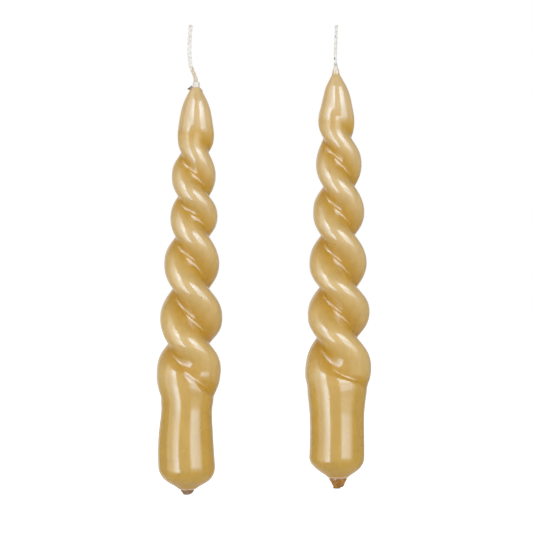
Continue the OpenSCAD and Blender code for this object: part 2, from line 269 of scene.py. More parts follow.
def fillInputs(tree, node, inputs):  # a socket is linked, a screen colour made linear, any other value set
    for name, value in inputs.items():
        if isinstance(value, bpy.types.NodeSocket):
            tree.links.new(value, node.inputs[name])
        else:
            node.inputs[name].default_value = screenColour(value) if isinstance(value, str) else value


def addNode(tree, kind, inputs=None, **settings):
    node = tree.nodes.new("ShaderNode" + kind)
    for name, value in settings.items():
        setattr(node, name, value)
    fillInputs(tree, node, inputs or {})
    return node


def addMath(tree, operation, a, b=0.0, c=0.0):
    return addNode(tree, "Math", {0: a, 1: b, 2: c}, operation=operation).outputs[0]


def addMix(tree, factor, a, b):  # inputs 6 and 7 are a Mix node's two colours
    return addNode(tree, "Mix", {0: factor, 6: a, 7: b}, data_type="RGBA").outputs[2]


def addRange(tree, value, low, high, toLow=0.0, toHigh=1.0):
    ends = {"Value": value, "From Min": low, "From Max": high, "To Min": toLow, "To Max": toHigh}
    return addNode(tree, "MapRange", ends, interpolation_type="SMOOTHSTEP").outputs["Result"]


def addNoise(tree, coords, scale, detail, **others):
    return addNode(tree, "TexNoise", {"Vector": coords, "Scale": scale, "Detail": detail, **others}).outputs["Fac"]


def addRamp(tree, value, stops):
    node = addNode(tree, "ValToRGB", {"Fac": value})
    ramp = node.color_ramp
    ramp.interpolation = "EASE"
    for place, shade in stops[1:-1]:
        ramp.elements.new(place)
    for element, (place, shade) in zip(ramp.elements, stops):
        element.position, element.color = place, (shade, shade, shade, 1)
    return node.outputs["Color"]


def addBump(tree, shader, height, depth):  # fine relief, its depth in mm
    bump = addNode(tree, "Bump", {"Height": height, "Strength": 1, "Distance": depth * mm})
    tree.links.new(bump.outputs["Normal"], shader.inputs["Normal"])


def readLayer(tree, name):  # a value that the mesh carries at its points
    return addNode(tree, "Attribute", attribute_name=name).outputs["Fac"]


def objectCoords(tree):
    return addNode(tree, "TexCoord").outputs["Object"]


def newMaterial(name):
    material = bpy.data.materials.new(name)
    material.use_nodes = True
    return material, material.node_tree, material.node_tree.nodes["Principled BSDF"]


# What every wax here shares: slow clouding, dust under the skin, and the skin's fine relief
skinLook = {
    "cloudRoughness": 0.55, "peelRoughness": 0.5, "dot": (0.1, 0.04), "rareDot": 0.86,
    "pit": (0, 0.16), "pitShare": 0.25,
}
skinScales = ("Cloud Scale", "Peel Scale", "Dust Scale")
waxSkin = bpy.data.node_groups.new("waxSkin", "ShaderNodeTree")
waxSkin.interface.new_socket("Vector", in_out="INPUT", socket_type="NodeSocketVector")
for name in skinScales:
    waxSkin.interface.new_socket(name, in_out="INPUT", socket_type="NodeSocketFloat")
for name in ("Clouding", "Dust", "Relief"):
    waxSkin.interface.new_socket(name, in_out="OUTPUT", socket_type="NodeSocketFloat")
groupIn = waxSkin.nodes.new("NodeGroupInput")
groupOut = waxSkin.nodes.new("NodeGroupOutput")
place, cloudScale, peelScale, dustScale = (groupIn.outputs[name] for name in ("Vector",) + skinScales)
clouding = addNoise(waxSkin, place, cloudScale, 3, Roughness=skinLook["cloudRoughness"])
dust = addNode(waxSkin, "TexVoronoi", {"Vector": place, "Scale": dustScale, "Randomness": 1})
dustPick = addNode(waxSkin, "TexWhiteNoise", {"Vector": dust.outputs["Position"]}).outputs["Value"]
dustDot = addRange(waxSkin, dust.outputs["Distance"], *skinLook["dot"])
rareDot = addMath(waxSkin, "GREATER_THAN", dustPick, skinLook["rareDot"])
peel = addNoise(waxSkin, place, peelScale, 2, Roughness=skinLook["peelRoughness"])
pit = addRange(waxSkin, dust.outputs["Distance"], *skinLook["pit"])
fillInputs(waxSkin, groupOut, {
    "Clouding": clouding, "Dust": addMath(waxSkin, "MULTIPLY", dustDot, rareDot),
    "Relief": addMath(waxSkin, "MULTIPLY_ADD", pit, skinLook["pitShare"], peel),
})


def addSkin(tree, coords, scales):  # the shared skin, with one wax's own cloud, peel and dust scales
    node = tree.nodes.new("ShaderNodeGroup")
    node.node_tree = waxSkin
    fillInputs(tree, node, {"Vector": coords, **dict(zip(skinScales, scales))})
    return node.outputs


lacquerLook = {
    # groove: amber painted into grooves and dents as their shade, together with the thicker lacquer that pools there;
    # the foot near the lip takes it too
    # lip: a paler ring painted at the lip as its highlight
    # ridge and tip: paler colours for painted sheen on the crests and a painted lighter top
    "butt": "CFA64A", "ridgeSheen": "DEBC77", "tip": "DFC087", "grooveShadeAndFoot": "CA9A30", "lip": "E8CDB2", "dust": "7A5520",
    "heights": (0.03, 0.14), "scales": (130, 900, 260), "cloudAmount": 0.025, "streakAmount": 0.03,
    "streakScale": (420, 420, 36), "dustAmount": 0.5, "roughness": (0.22, 0.34), "peelDepth": 0.008,
    "coatRoughness": 0.13, "dullCoat": 0.12,
}


def makeLacquer(look):
    material, tree, shader = newMaterial("camelLacquer")
    coords = objectCoords(tree)
    skin = addSkin(tree, coords, look["scales"])
    height = addNode(tree, "SeparateXYZ", {0: coords}).outputs["Z"]
    # painted sheen and a painted lighter top: the crests and the tip take paler colours, paler still higher up
    sheenColour = addMix(tree, addRange(tree, height, *look["heights"]), look["ridgeSheen"], look["tip"])
    bodied = addMix(tree, readLayer(tree, "ridgeSheen"), look["butt"], sheenColour)
    # painted shade: amber in the grooves and dents, and on the foot near the lip
    grooveShaded = addMix(tree, readLayer(tree, "grooveShadeAndFoot"), bodied, look["grooveShadeAndFoot"])
    stretched = addNode(tree, "Mapping", {"Vector": coords, "Scale": look["streakScale"]}).outputs["Vector"]
    cloudy, streaky = look["cloudAmount"], look["streakAmount"]
    clouds = addRange(tree, skin["Clouding"], 0.3, 0.7, -cloudy, cloudy)
    streaks = addRange(tree, addNoise(tree, stretched, 1, 2), 0.3, 0.7, 1 - streaky, 1 + streaky)
    shade = addMath(tree, "ADD", clouds, streaks)
    shaded = addNode(tree, "VectorMath", {0: grooveShaded, "Scale": shade}, operation="SCALE").outputs[0]
    # painted highlight: a paler ring at the lip
    lipHighlighted = addMix(tree, readLayer(tree, "lip"), shaded, look["lip"])
    dusty = addMath(tree, "MULTIPLY", skin["Dust"], look["dustAmount"])
    fillInputs(tree, shader, {
        "Base Color": addMix(tree, dusty, lipHighlighted, look["dust"]),
        "Roughness": addRange(tree, skin["Clouding"], 0.25, 0.75, *look["roughness"]),
        "Coat Weight": addRange(tree, readLayer(tree, "dull"), 0, 1, 1, look["dullCoat"]),
        "Coat Roughness": look["coatRoughness"], "Coat IOR": 1.5, "IOR": 1.45, "Specular IOR Level": 0.25,
    })
    addBump(tree, shader, skin["Relief"], look["peelDepth"])
    return material


lacquer = makeLacquer(lacquerLook)

plainWaxLooks = {
    "coreWax": {"pale": "F0E2BE", "deep": "E4D2A4", "roughness": (0.44, 0.56), "scales": (150, 1200, 300)},
    "primingWax": {"pale": "F2EADB", "deep": "E9DCC4", "roughness": (0.32, 0.44), "scales": (400, 1200, 300)},
}


def makePlainWax(name, look):
    material, tree, shader = newMaterial(name)
    skin = addSkin(tree, objectCoords(tree), look["scales"])
    mixed = addMix(tree, skin["Clouding"], look["pale"], look["deep"])
    fillInputs(tree, shader, {
        "Base Color": addMix(tree, addMath(tree, "MULTIPLY", skin["Dust"], 0.3), mixed, "B79A6A"),
        "Roughness": addRange(tree, skin["Clouding"], 0.2, 0.8, *look["roughness"]), "IOR": 1.44,
        "Subsurface Weight": 0.3, "Subsurface Scale": 0.002, "Subsurface Radius": (1, 0.75, 0.5),
    })
    addBump(tree, shader, skin["Relief"], 0.03)
    return material


coreWax, primingWax = (makePlainWax(name, look) for name, look in plainWaxLooks.items())
for side in forms:  # the sheath of priming wax lies round the buried wick and keeps its CAD shape
    mesh = frame["nodes"][side + "_wick_sheath"].data
    mesh.materials.clear()
    mesh.materials.append(primingWax)
print("waxes mixed")

# The glossy coat: one closed outline, spun round, then pinched into two lobes and twisted. In mm; ripple, foot
# and lip each have a fade, the heights above the lip where it starts and where it is full
coatShape = {
    "sides": 144, "ring": 0.42, "footRing": 0.35, "buttRing": 0.8, "tipRing": 0.25, "innerRing": 2.0, "ringShare": 0.93,
    "wall": 0.36, "footWall": 1.6, "gap": 0.06, "boreR": 1.36, "collarH": 1.56, "crease": 0.24, "plump": 0.85,
    "lipRound": [(-0.4, 0), (-0.1, -0.04), (0.12, 0.03), (0.22, 0.16)],
    "ripple": 0.045, "rippleSize": 9.0, "rippleRadii": (1.6, 4.0), "rippleFade": (0.4, 3),
    "flute": 0.02, "fluteSize": (4.5, 26), "fluteFade": 10, "dentRoll": 2.5,
    "fullPinch": 0.12, "grooveFall": 1.6, "tipShares": (0.82, 0.9),
    # the foot's amber and the lip's painted highlight, each with how strongly it shows and its fade
    "footAmber": 0.7, "footFade": (4.5, 0.8), "lipHighlight": 0.9, "lipFade": (0.55, 0.2),
}
nibShapes = {
    "left": {
        "height": 2.05, "cut": 9, "lean": 0.07, "chip": (2.8, 0.3),
        "outline": [(2.68, 0), (2.66, -0.3), (2.5, -0.7), (2.2, -1.1), (1.85, -1.5), (1.45, -1.8), (1.12, -2.05)],
    },
    "right": {
        "height": 4.4, "cut": 4, "lean": 0.15, "chip": None,
        "outline": [
            (3.5, 0), (3.5, -0.4), (3.3, -1.1), (2.8, -1.9), (2.42, -2.7), (1.9, -3.5), (1.4, -4.1), (1.12, -4.4),
        ],
    },
}


def between(start, end, step):  # heights from start to end, both in, at about that step
    count = max(1, round(abs(end - start) / step))
    return [start + (end - start) * i / count for i in range(count + 1)]


def innerRings(form, shape, gap=0):  # the inside of the coat, or the core a hair inside it
    cavity, lip = form["waxH"] - shape["collarH"], form["lipZ"]
    inset = shape["wall"] + gap
    rings = [(sliceAt(form, z)[0] - inset, z) for z in between(cavity - 0.8, 0.4, shape["innerRing"])]
    for z in between(-0.6, lip + 1.4, 0.8):
        thinned = buttRadius(form, z) - shape["footWall"] * shape["wall"]
        rings.append((max(thinned, buttRadius(form, lip)) - gap, z))
    return rings


def coatOutline(form, shape):
    top, lip, boreR = form["waxH"], form["lipZ"], shape["boreR"]
    twistTop = form["buttH"] + shape["ringShare"] * form["formH"]
    heights = between(lip + 0.35, 0, shape["footRing"])[:-1] + between(0, form["buttH"], shape["buttRing"])[:-1]
    heights += between(form["buttH"], twistTop, shape["ring"])[:-1] + between(twistTop, top - 0.2, shape["tipRing"])
    lipR, rimR = buttRadius(form, lip), sliceAt(form, top)[0]
    outer = [(lipR + out, lip + up) for out, up in shape["lipRound"]] + [(sliceAt(form, z)[0], z) for z in heights]
    rim = [(rimR - 0.03, top - 0.08), (rimR - 0.12, top), (boreR + 0.1, top + 0.02), (boreR, top - 0.1)]
    cavity = top - shape["collarH"]
    bore = [(boreR, z) for z in between(top - 0.5, cavity, 0.35)]
    ceiling = [(boreR + 0.5, cavity), (sliceAt(form, cavity)[0] - shape["wall"], cavity - 0.1)]
    floorRings = [(lipR - 0.3, lip + 0.75), (boreR, lip + 0.6), (boreR, lip)]
    return outer + rim + bore + ceiling + innerRings(form, shape) + floorRings


def coreOutline(form, shape):
    low, cavity, boreR = form["lipZ"], form["waxH"] - shape["collarH"], shape["boreR"]
    inset = shape["wall"] + shape["gap"]
    ceiling = [(boreR + 0.3, cavity - 0.1), (sliceAt(form, cavity)[0] - inset, cavity - 0.2)]
    floorRings = [(buttRadius(form, low) - 0.4, low + 0.9), (boreR + 0.3, low + 0.8)]
    bore = [(boreR, z) for z in between(low + 0.9, cavity - 0.2, 4)]
    return ceiling + innerRings(form, shape, shape["gap"]) + floorRings + bore


def spinRound(bm, geom, angle, steps, closed):
    bmesh.ops.spin(bm, geom=geom, cent=(0, 0, 0), axis=(0, 0, 1), dvec=(0, 0, 0), angle=angle, steps=steps,
                   use_merge=closed, use_duplicate=False)


def spinOutline(outline, sides):
    bm = bmesh.new()
    points = [bm.verts.new((r, 0, z)) for r, z in outline]
    edges = [bm.edges.new((points[i - 1], points[i])) for i in range(len(points))]
    spinRound(bm, points + edges, math.tau, sides, True)
    bmesh.ops.remove_doubles(bm, verts=bm.verts, dist=1e-4)
    bmesh.ops.recalc_face_normals(bm, faces=bm.faces)
    return bm


def aboveLip(form, z, start, end):  # a soft step between two heights above the butt's lip
    return smoothStep(z, form["lipZ"] + start, form["lipZ"] + end)


def twistWax(bm, form, shape):  # pinches the round wax into two lobes, twists, leans and ripples it
    grooveShadeAndFoot, ridgeSheen, lip, dull = (bm.verts.layers.float.new(name) for name in ("grooveShadeAndFoot", "ridgeSheen", "lip", "dull"))
    tipStart, tipEnd = (form["buttH"] + share * form["formH"] for share in shape["tipShares"])
    dullStart, dullFull, dullWane, dullEnd = form["dullRing"]
    across, along = shape["fluteSize"]
    for v in bm.verts:
        r, angle, z = math.hypot(v.co.x, v.co.y), math.atan2(v.co.y, v.co.x), v.co.z
        if r < shape["boreR"] + 0.01:  # the bore keeps to the wick
            v.co.x += wickLine(form, z)
            continue
        lobe, waist, lean, turn = sliceAt(form, z)
        dentTurn, dent = dentAt(form, z)
        away = (math.degrees(angle + turn) + 90 - dentTurn + 90) % 180 - 90
        roll = shape["dentRoll"] if away > 0 else 1  # a dent fades out more slowly on its upper side
        dent *= math.exp(-(away / form["dentSpread"] / roll) ** 2)
        reach = reachAt(lobe, waist, angle, shape) - dent
        pinch = lobe - waist
        depth = clamp((lobe - reach) / max(pinch, 0.01))
        pinched = clamp(pinch / (shape["fullPinch"] * form["buttD"]))
        foot = shape["footAmber"] * aboveLip(form, z, *shape["footFade"])
        # marks grooves and dents for the painted shade, and the foot near the lip for its amber
        v[grooveShadeAndFoot] = max(depth ** shape["grooveFall"] * pinched, clamp(dent), foot)
        # marks the crest tops and the tip for the painted sheen
        v[ridgeSheen] = max((1 - depth) * pinched, smoothStep(z, tipStart, tipEnd))
        # marks the lip's ring for its painted highlight
        v[lip] = shape["lipHighlight"] * aboveLip(form, z, *shape["lipFade"])
        v[dull] = smoothStep(z, dullStart, dullFull) * smoothStep(z, dullEnd, dullWane)
        direction = Vector((math.cos(angle + turn), math.sin(angle + turn), 0))
        spot = Vector((lean, 0, z)) + direction * (reach - lobe + r)
        soft = smoothStep(r, *shape["rippleRadii"]) * aboveLip(form, z, *shape["rippleFade"])
        ripple = shape["ripple"] * noise.noise(spot / shape["rippleSize"] + Vector((form["seed"], 0, 0)))
        flutes = noise.noise(Vector((spot.x / across, spot.y / across, spot.z / along + form["seed"])))
        ripple += shape["flute"] * flutes * smoothStep(z, form["buttH"] + shape["fluteFade"], form["buttH"])
        v.co = spot + direction * ripple * soft
    toRowFrame(bm, form)


waxLayers = (
    ("glossy_coat", coatOutline, lacquer, "lacquer_coat", "coat"),
    ("pale_core", coreOutline, coreWax, "core_wax", "core"),
)
for side, form in forms.items():
    for name, outline, material, slotName, node in waxLayers:
        bm = spinOutline(outline(form, coatShape), coatShape["sides"])
        twistWax(bm, form, coatShape)
        wax = finishPiece(side + "_" + name, bm, material, side + "_candle", [side + "_" + node])
        print(wax.name, len(wax.data.polygons), "faces")

nibWax = {"scales": (700, 1500, 900), "grainScale": 2600, "roughness": (0.26, 0.46), "relief": 0.05}
# cut: a dark colour painted on the left nib's chipped face, as the shadow at its right end, and towards each nib's cut
# foot
nibLooks = {
    "left": {"pale": "A27A4C", "deep": "7E5C38", "cut": "5C4630", "grain": "C8A27A", **nibWax},
    "right": {"pale": "C08420", "deep": "946210", "cut": "6A4A1E", "grain": "DCB060", **nibWax},
}
nibForm = {
    "sides": 72, "ring": 0.16, "wickBoreR": 1.03, "lumpSize": 1.7, "lump": 0.1, "grainSize": 0.6, "grain": 0.03,
    "chipDrop": 0.9, "cutShade": 0.6, "cutFade": 0.25, "sharp": 40,
}


def makeNibWax(side, look):
    material, tree, shader = newMaterial(side + "NibWax")
    coords = objectCoords(tree)
    skin = addSkin(tree, coords, look["scales"])
    mixed = addMix(tree, addRange(tree, skin["Clouding"], 0.35, 0.65), look["pale"], look["deep"])
    grain = addNoise(tree, coords, look["grainScale"], 2)
    grained = addMix(tree, addRange(tree, grain, 0.6, 0.75, 0, 0.55), mixed, look["grain"])
    # painted shadow on the chipped face; the nib also darkens towards its cut foot
    fillInputs(tree, shader, {
        "Base Color": addMix(tree, readLayer(tree, "cut"), grained, look["cut"]),
        "Roughness": addRange(tree, grain, 0.3, 0.7, *look["roughness"]),
        "IOR": 1.45, "Coat Weight": 0.6, "Coat Roughness": 0.15,
    })
    addBump(tree, shader, addMath(tree, "ADD", skin["Relief"], grain), look["relief"])
    return material


def buildNib(side, shape, material):
    form, lip, boreR = forms[side], forms[side]["lipZ"], coatShape["boreR"]
    radii, drops = zip(*shape["outline"])
    end = drops[-1]
    skin = [(curveAt(-drop, [-x for x in drops], radii), drop) for drop in between(0, end, nibForm["ring"])]
    bore = [(nibForm["wickBoreR"], end + 0.1), (boreR, end + 0.6), (boreR, end / 2)]
    outline = [(boreR, 0), (boreR + 0.8, 0)] + skin + bore
    bm = spinOutline([(r, lip + drop) for r, drop in outline], nibForm["sides"])
    slope = math.tan(math.radians(shape["cut"]))
    foot = lip - shape["height"]
    for v in bm.verts:
        low = smoothStep(v.co.z, lip - 0.3, foot)
        out = smoothStep(math.hypot(v.co.x, v.co.y), boreR + 0.05, boreR + 0.6)
        lump = noise.noise(v.co / nibForm["lumpSize"] + Vector((form["seed"], 0, 0))) * nibForm["lump"]
        lump += noise.noise(v.co / nibForm["grainSize"]) * nibForm["grain"]
        v.co.x, v.co.y = v.co.x * (1 + lump * out * low), v.co.y * (1 + lump * out * low)
        v.co.z -= v.co.y * slope * low
        v.co.x += form["footLean"] + shape["lean"] * low if out > 0.5 else wickLine(form, v.co.z)
    chipX, tilt = shape["chip"] or (math.inf, 0)
    chipZ = lip - nibForm["chipDrop"]
    if shape["chip"]:
        geom = bm.verts[:] + bm.edges[:] + bm.faces[:]
        plane = {"plane_co": (chipX, 0, chipZ), "plane_no": (1, 0, -tilt)}
        sliced = bmesh.ops.bisect_plane(bm, geom=geom, clear_outer=True, **plane)
        rim = [g for g in sliced["geom_cut"] if isinstance(g, bmesh.types.BMEdge)]
        bmesh.ops.holes_fill(bm, edges=rim, sides=0)
    cut = bm.verts.layers.float.new("cut")
    # painted shadow: the chipped face gets the full dark colour; towards the cut foot the nib darkens, cutShade of the
    # way
    for v in bm.verts:
        chipped = v.co.x + tilt * (chipZ - v.co.z) > chipX - 0.02
        sawn = smoothStep(v.co.z + v.co.y * slope, foot + nibForm["cutFade"], foot)
        v[cut] = 1.0 if chipped else sawn * nibForm["cutShade"]
    toRowFrame(bm, form)
    name, nodes = side + "_cut_nib", [side + "_drip_nib"]
    return finishPiece(name, bm, material, side + "_candle", nodes, sharp=nibForm["sharp"])


for side in forms:
    nib = buildNib(side, nibShapes[side], makeNibWax(side, nibLooks[side]))
    print(nib.name, len(nib.data.polygons), "faces")

# The wicks: three strands of twisted yarns, straight in the wax and plaited where they are free
wickShape = {
    "freeHeights": {"left": 25.2, "right": 20}, "turns": {"left": 8, "right": 62},
    "strandSwing": 0.43, "strandDepth": 0.27, "flatten": 0.45, "flattenFade": (-1.5, 1), "pitch": 6.4,
    "yarns": 5, "yarnRing": 0.23, "yarnR": 0.17, "yarnPitch": 2.3, "fillR": 0.392, "step": 0.2,
    "buriedTop": -1, "buriedStep": 4, "buriedPitch": 20, "footRise": 0.04, "footGap": 0.1,
    "unevenEnds": 0.7, "fray": 0.45, "frayH": 1.6, "looseness": 0.12, "thickness": 0.1,
    "strays": 4, "strayR": 0.022, "strayThin": 0.7, "strayRoot": 0.2, "soakFade": (0.8, -0.6),
    "paths": {  # right, back and up, as shares of the free height
        "left": [
            (0, 0, 0), (0.005, 0, 0.05), (-0.005, 0.005, 0.15), (-0.045, 0.01, 0.25), (-0.085, 0.015, 0.36),
            (-0.1, 0.01, 0.47), (-0.105, 0, 0.65), (-0.095, 0, 0.85), (-0.08, 0, 1),
        ],
        "right": [(0, 0, 0), (0, 0, 0.1), (-0.01, 0.005, 0.4), (0, 0.01, 0.7), (0.01, 0, 1)],
    },
    "spotHeights": {"left": [], "right": [(6.8, 0.5), (15.6, 0.4)]},  # two dark fibres caught in the right wick
    "spotPlace": (-0.35, -0.7, 0),
}


def wickPoint(form, h, shape):  # the middle of the wick at a height above the collar, in mm
    if h < 0:
        return Vector((wickLine(form, form["waxH"] + h), 0, form["waxH"] + h))
    free = shape["freeHeights"][form["side"]]
    rights, backs, ups = zip(*shape["paths"][form["side"]])
    u = h / free
    bend = Vector((free * curveAt(u, ups, rights), free * curveAt(u, ups, backs), h))
    return Vector((form["collarX"], 0, form["waxH"])) + bend


def strandPoint(form, k, h, shape):  # the plait lies flatter above the root's wax
    phase = math.tau * (k / 3 + max(h, 0) / shape["pitch"])
    fade = (rootShapes[form["side"]]["height"] + rise for rise in shape["flattenFade"])
    depth = shape["strandDepth"] * (1 - shape["flatten"] * smoothStep(h, *fade))
    x, y = shape["strandSwing"] * math.sin(phase), depth * math.sin(2 * phase)
    turn = math.radians(shape["turns"][form["side"]])
    swing = Vector((x * math.cos(turn) - y * math.sin(turn), x * math.sin(turn) + y * math.cos(turn), 0))
    return wickPoint(form, h, shape) + swing


def strandFrame(form, k, h, shape):
    ahead = (strandPoint(form, k, h + 0.05, shape) - strandPoint(form, k, h - 0.05, shape)).normalized()
    right = Vector((0, 1, 0)).cross(ahead).normalized()
    return right, ahead.cross(right)


def strandHeights(form, end, step, shape):  # from just above the nib's cut, in long steps through the wax
    nib = nibShapes[form["side"]]
    foot = form["lipZ"] - nib["height"] + nib["cut"] * shape["footRise"] + shape["footGap"] - form["waxH"]
    return between(foot, shape["buriedTop"], shape["buriedStep"])[:-1] + between(shape["buriedTop"], end, step)


cottonLook = {
    "white": "F3EEE6", "cream": "EFE6DA", "shadow": "E9E0D3", "peach": "E6D3B8", "spot": "6A645C",
    "fibreScale": (260, 9, 1), "blotchScale": 170, "fibreDepth": 0.015,
}


def makeCotton(look):
    material, tree, shader = newMaterial("plaitedCotton")
    coords = addNode(tree, "TexCoord").outputs
    along = addNode(tree, "Mapping", {"Vector": coords["UV"], "Scale": look["fibreScale"]}).outputs["Vector"]
    fibres = addNoise(tree, along, 1, 3, Distortion=0.4)
    blotches = addNoise(tree, coords["Object"], look["blotchScale"], 2)
    cloth = addMix(tree, addRange(tree, blotches, 0.4, 0.65), look["white"], look["cream"])
    stained = addMix(tree, readLayer(tree, "soaked"), cloth, look["peach"])
    lined = addMix(tree, addRange(tree, fibres, 0.45, 0.3, 0, 0.35), stained, look["shadow"])
    fillInputs(tree, shader, {
        "Base Color": addMix(tree, readLayer(tree, "spot"), lined, look["spot"]),
        "Roughness": addRange(tree, fibres, 0.3, 0.7, 0.42, 0.62),
        "Coat Weight": 0.35, "Coat Roughness": 0.3, "Sheen Weight": 0.2,
    })
    addBump(tree, shader, fibres, look["fibreDepth"])
    return material


cotton = makeCotton(cottonLook)


def addThread(curve, points, radius):
    spline = curve.splines.new("POLY")
    spline.points.add(len(points) - 1)
    for place, (co, share) in zip(spline.points, points):
        place.co = (*co, 1)
        place.radius = share * radius


def layYarns(curve, form, k, shape, chance):
    free = shape["freeHeights"][form["side"]]
    for j in range(shape["yarns"]):
        points = []
        end = free - chance.uniform(0, shape["unevenEnds"])
        for h in strandHeights(form, end, shape["step"], shape):
            right, back = strandFrame(form, k, h, shape)
            pitch = shape["yarnPitch"] if h > shape["buriedTop"] else shape["buriedPitch"]
            angle = math.tau * (j / shape["yarns"] + h / pitch)
            loosen = 1 + shape["fray"] * smoothStep(h, free - shape["frayH"], free)
            loosen += shape["looseness"] * noise.noise(Vector((h / 1.4, j, k)))
            out = right * math.cos(angle) + back * math.sin(angle)
            thick = 1 + shape["thickness"] * noise.noise(Vector((h / 0.5, j + 5, k)))
            points.append((strandPoint(form, k, h, shape) + out * shape["yarnRing"] * loosen, thick))
        addThread(curve, points, shape["yarnR"])
    heights = strandHeights(form, free - shape["unevenEnds"], 2 * shape["step"], shape)
    middle = [(strandPoint(form, k, h, shape), 1) for h in heights]
    addThread(curve, middle, shape["fillR"])  # priming wax fills the strand between its yarns


def layStrays(curve, form, k, shape, chance):  # loose fibres that stand off the cotton
    free = shape["freeHeights"][form["side"]]
    for _ in range(shape["strays"]):
        h = chance.choice((chance.uniform(2, free), free - chance.uniform(0.1, 0.8)))
        right, back = strandFrame(form, k, h, shape)
        angle = chance.uniform(0, math.tau)
        out = right * math.cos(angle) + back * math.sin(angle)
        start = strandPoint(form, k, h, shape) + out * shape["strayRoot"]
        rise, lift = Vector((0, 0, chance.uniform(0.3, 0.9))), chance.uniform(0.15, 0.45)
        bend = Vector((chance.uniform(-0.2, 0.2), chance.uniform(-0.2, 0.2), 0))
        steps = (0, 0.25, 0.5, 0.75, 1)
        points = [(start + rise * s + out * lift * s + bend * s * s, 1 - shape["strayThin"] * s) for s in steps]
        addThread(curve, points, shape["strayR"])


def buildStrand(side, k, shape):
    form = forms[side]
    soakStart, soakFull = (rootShapes[side]["height"] + rise for rise in shape["soakFade"])
    chance = random.Random(40 * k + len(side))
    curve = bpy.data.curves.new("yarns", "CURVE")
    curve.dimensions = "3D"
    curve.bevel_depth = 1.0
    curve.bevel_resolution = 2
    curve.use_fill_caps = True
    layYarns(curve, form, k, shape, chance)
    layStrays(curve, form, k, shape, chance)
    holder = bpy.data.objects.new("yarns", curve)
    scene.collection.objects.link(holder)
    mesh = bpy.data.meshes.new_from_object(holder.evaluated_get(bpy.context.evaluated_depsgraph_get()))
    bpy.data.objects.remove(holder)
    bm = bmesh.new()
    bm.from_mesh(mesh)
    bpy.data.meshes.remove(mesh)
    bmesh.ops.remove_doubles(bm, verts=bm.verts, dist=1e-5)
    bmesh.ops.recalc_face_normals(bm, faces=bm.faces)
    soaked, spots = (bm.verts.layers.float.new(name) for name in ("soaked", "spot"))
    for v in bm.verts:
        v[soaked] = smoothStep(v.co.z - form["waxH"], soakStart, soakFull)
        for height, reach in shape["spotHeights"][side]:
            offset = v.co - wickPoint(form, height, shape) - Vector(shape["spotPlace"])
            v[spots] = max(v[spots], smoothStep(offset.length, reach, reach * 0.5))
    toRowFrame(bm, form)
    name = "%s_wick_strand_%d" % (side, k)
    return finishPiece(name + "_yarns", bm, cotton, side + "_candle", [name])


# The wax that crept up each wick: a film drawn tight over the strands, on a short smooth neck
rootShapes = {
    "left": {
        "height": 8.4, "film": 0.07, "neckR": 1.42, "neckTop": 2.5, "merge": 0.5, "footR": 1.62, "footTop": 0.45,
        "blush": 0.15, "stain": 1,
    },
    "right": {
        "height": 4.9, "film": 0.05, "neckR": 1.38, "neckTop": 2.9, "merge": 1.7, "footR": 1.62, "footTop": 1.5,
        "blush": 1, "stain": 0,
    },
}
filmForm = {
    "sides": 48, "ring": 0.14, "low": -0.2, "skinR": 2.0, "boreR": 1.03, "strandR": 0.3, "slack": 0.45,
    # the last two: the valley depth at which the painted shade between the strands is full, and how far below the top
    # it fades out
    "thinning": 0.6, "thinFrom": 1.2, "filmRipple": 0.03, "neckRipple": 0.05, "creaseShadeDepth": 0.3, "creaseShadeFade": 2,
}
rootLook = {
    # deep: a darker brown painted into the valleys between the strands under the film, as their shade
    "neck": "EDE3D8", "peach": "E3CFB2", "deep": "B8966C", "foot": "D2AE6C",
    "scales": (900, 2200, 1200), "roughness": (0.15, 0.32), "relief": 0.04,
}


def makeRootWax(look):
    material, tree, shader = newMaterial("creptRootWax")
    skin = addSkin(tree, objectCoords(tree), look["scales"])
    mixed = addMix(tree, readLayer(tree, "peach"), look["neck"], look["peach"])
    # painted shade: the valleys between the strands take the deeper brown
    creaseShade = addMath(tree, "MULTIPLY", readLayer(tree, "gap"), addRange(tree, skin["Clouding"], 0.3, 0.6, 0.7, 1))
    creaseShaded = addMix(tree, creaseShade, mixed, look["deep"])
    fillInputs(tree, shader, {
        "Base Color": addMix(tree, readLayer(tree, "foot"), creaseShaded, look["foot"]),
        "Roughness": addRange(tree, skin["Clouding"], 0.3, 0.7, *look["roughness"]),
        "IOR": 1.45, "Coat Weight": 0.5, "Coat Roughness": 0.12,
    })
    addBump(tree, shader, skin["Relief"], look["relief"])
    return material


rootWax = makeRootWax(rootLook)


def filmReach(form, h, angle):  # how far the strands push the film out in one direction
    middle = wickPoint(form, h, wickShape)
    direction = Vector((math.cos(angle), math.sin(angle), 0))
    strandR = filmForm["strandR"]
    hull = deepest = strandR
    for k in (1, 2, 3):
        offset = strandPoint(form, k, h, wickShape) - middle
        ahead = offset.dot(direction)
        hull = max(hull, ahead + strandR)
        inside = ahead ** 2 - offset.length_squared + strandR ** 2
        if inside > 0:
            deepest = max(deepest, ahead + math.sqrt(inside))
    return hull, deepest


